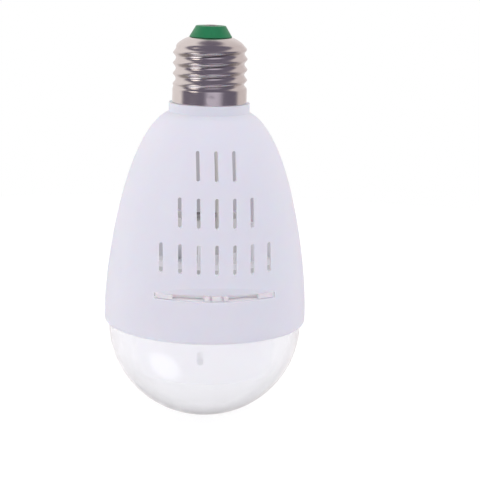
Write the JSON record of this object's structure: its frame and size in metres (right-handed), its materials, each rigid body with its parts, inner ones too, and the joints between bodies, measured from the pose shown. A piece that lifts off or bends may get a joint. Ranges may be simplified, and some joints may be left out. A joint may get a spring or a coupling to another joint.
{
  "type": "led star projector bulb",
  "caption": "Screw-in bulb-shaped projector lamp with a vented white housing, a slot for a star slide, and projection lenses that turn inside a clear dome.",
  "frame": {"origin": "on the lamp's axis, in the plane where the screw cap's skirt stands on the housing's collar", "axes": "+Z along the axis, up through the screw cap to the centre contact, so the dome is at the lower end; -Y towards the side with the slide slot"},
  "size_m": [0.072, 0.072, 0.14],
  "materials": {
    "contact_metal": "satin",
    "green_insulator": "gloss",
    "nickel_shell": "polished",
    "white_housing": "satin",
    "clear_dome": "clear",
    "white_inner_plastic": "matte",
    "drum_plastic": "satin",
    "circuit_board": "satin",
    "white_circuit_board": "satin",
    "ferrite": "matte",
    "winding_tape": "gloss",
    "capacitor_sleeve": "gloss",
    "black_epoxy": "matte",
    "resistor_body": "satin",
    "red_lead": "satin",
    "white_lead": "satin",
    "blue_lead": "satin",
    "cast_aluminium": "satin",
    "zinc_screw": "satin",
    "emitter": "gloss",
    "clear_lens": "clear",
    "card_plastic": "matte",
    "star_film": "gloss",
    "motor_steel": "satin",
    "polished_steel": "polished"
  },
  "bodies": {
    "lamp": {"centre_contact": "contact_metal", "cap_insulator": "green_insulator", "screw_shell": "nickel_shell", "housing": "white_housing", "dome_cover": "clear_dome", "driver_cover": "white_inner_plastic", "driver_board": "circuit_board", "transformer_core": "ferrite", "transformer_winding": "winding_tape", "smoothing_capacitor": "capacitor_sleeve", "output_capacitor": "capacitor_sleeve", "bridge_rectifier": "black_epoxy", "driver_chip": "black_epoxy", "fusible_resistor": "resistor_body", "live_lead": "red_lead", "neutral_lead": "blue_lead", "led_leads": "red_lead", "motor_leads": "white_lead", "heat_sink": "cast_aluminium", "heat_sink_screws": "zinc_screw", "led_board": "white_circuit_board", "led_emitters": "emitter", "lens_plate": "white_inner_plastic", "condenser_lenses": "clear_lens", "slide_guide": "white_inner_plastic", "guide_screws": "zinc_screw", "motor": "motor_steel", "motor_screws": "zinc_screw"},
    "rotor": {"motor_shaft": "polished_steel", "lens_drum": "drum_plastic", "projection_lenses": "clear_lens", "drum_retainer": "zinc_screw"},
    "star_slide": {"slide_frame": "card_plastic", "star_films": "star_film"}
  },
  "joints": [
    {"name": "drum_spin", "type": "hinge", "parent": "lamp", "child": "rotor", "pos_m": [0, 0, -0.08], "axis": [0, 0, 1], "continuous": true},
    {"name": "slide_pull", "type": "slide", "parent": "lamp", "child": "star_slide", "axis": [0, -1, 0], "range_m": [0, 0.056]}
  ]
}
